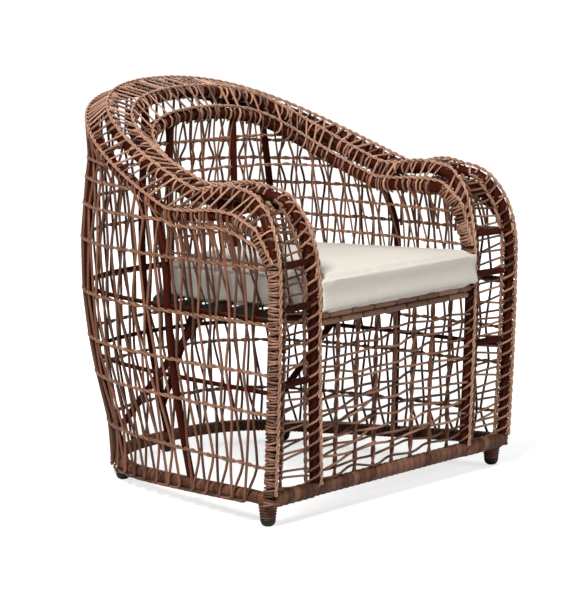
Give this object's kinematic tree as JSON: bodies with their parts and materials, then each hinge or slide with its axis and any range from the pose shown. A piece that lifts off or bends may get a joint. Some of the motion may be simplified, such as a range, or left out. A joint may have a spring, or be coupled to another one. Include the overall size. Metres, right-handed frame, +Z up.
{
  "type": "rattan armchair",
  "caption": "Barrel-shaped rattan tub armchair with an open woven double wall, laced rolled rim and a loose cream seat cushion.",
  "frame": {"origin": "on the floor, under the middle of the whole chair", "axes": "+Z up, -Y towards the front of the chair, +X to the right as seen from the front"},
  "size_m": [0.7415, 0.7202, 0.7836],
  "materials": {
    "rattan_pole": "satin stained rattan",
    "rattan_strand": "satin rattan peel",
    "cushion_cloth": "matt woven cloth",
    "webbing": "matt black webbing",
    "glide": "matt black"
  },
  "bodies": {
    "frame": {"apron_lower_bar": "rattan_strand", "apron_upper_bar": "rattan_strand", "arm_base_left": "rattan_pole", "arm_base_right": "rattan_pole", "arm_rungs": "rattan_pole", "back_posts": "rattan_pole", "base_rail_back": "rattan_pole", "base_rail_front": "rattan_pole", "base_rail_left": "rattan_pole", "base_rail_right": "rattan_pole", "centre_rear_post": "rattan_pole", "foot_glides": "glide", "foot_stubs": "rattan_pole", "front_lacing_left": "rattan_strand", "front_lacing_right": "rattan_strand", "front_panel_stakes": "rattan_strand", "front_panel_weavers": "rattan_strand", "inner_arm_tube_left": "rattan_pole", "inner_arm_tube_right": "rattan_pole", "inner_crest_tube": "rattan_pole", "inner_edge_line": "rattan_strand", "inner_edge_rail_back": "rattan_pole", "inner_edge_rail_left": "rattan_pole", "inner_edge_rail_right": "rattan_pole", "inner_stakes_back": "rattan_strand", "inner_stakes_left": "rattan_strand", "inner_stakes_right": "rattan_strand", "inner_top_line": "rattan_strand", "inner_weavers": "rattan_strand", "lower_hoop": "rattan_pole", "mid_side_post_left": "rattan_pole", "mid_side_post_right": "rattan_pole", "outer_arm_tube_left": "rattan_pole", "outer_arm_tube_right": "rattan_pole", "outer_crest_tube": "rattan_pole", "outer_edge_line": "rattan_strand", "outer_edge_rail_back": "rattan_pole", "outer_edge_rail_left": "rattan_pole", "outer_edge_rail_right": "rattan_pole", "outer_stakes_back": "rattan_strand", "outer_stakes_left": "rattan_strand", "outer_stakes_right": "rattan_strand", "outer_top_line": "rattan_strand", "outer_weavers": "rattan_strand", "rear_braces": "rattan_pole", "rear_side_post_left": "rattan_pole", "rear_side_post_right": "rattan_pole", "rim_lacing_back": "rattan_strand", "rim_lacing_left": "rattan_strand", "rim_lacing_right": "rattan_strand", "seat_rail_back": "rattan_pole", "seat_rail_front": "rattan_pole", "seat_rail_left": "rattan_pole", "seat_rail_right": "rattan_pole", "seat_webbing": "webbing", "upper_hoop": "rattan_pole"},
    "cushion": {"seat_cushion": "cushion_cloth"}
  },
  "joints": [
    {"name": "cushion_slide", "type": "slide", "parent": "frame", "child": "cushion", "axis": [0, -0.999, 0.0436], "range_m": [0, 0.5]}
  ]
}
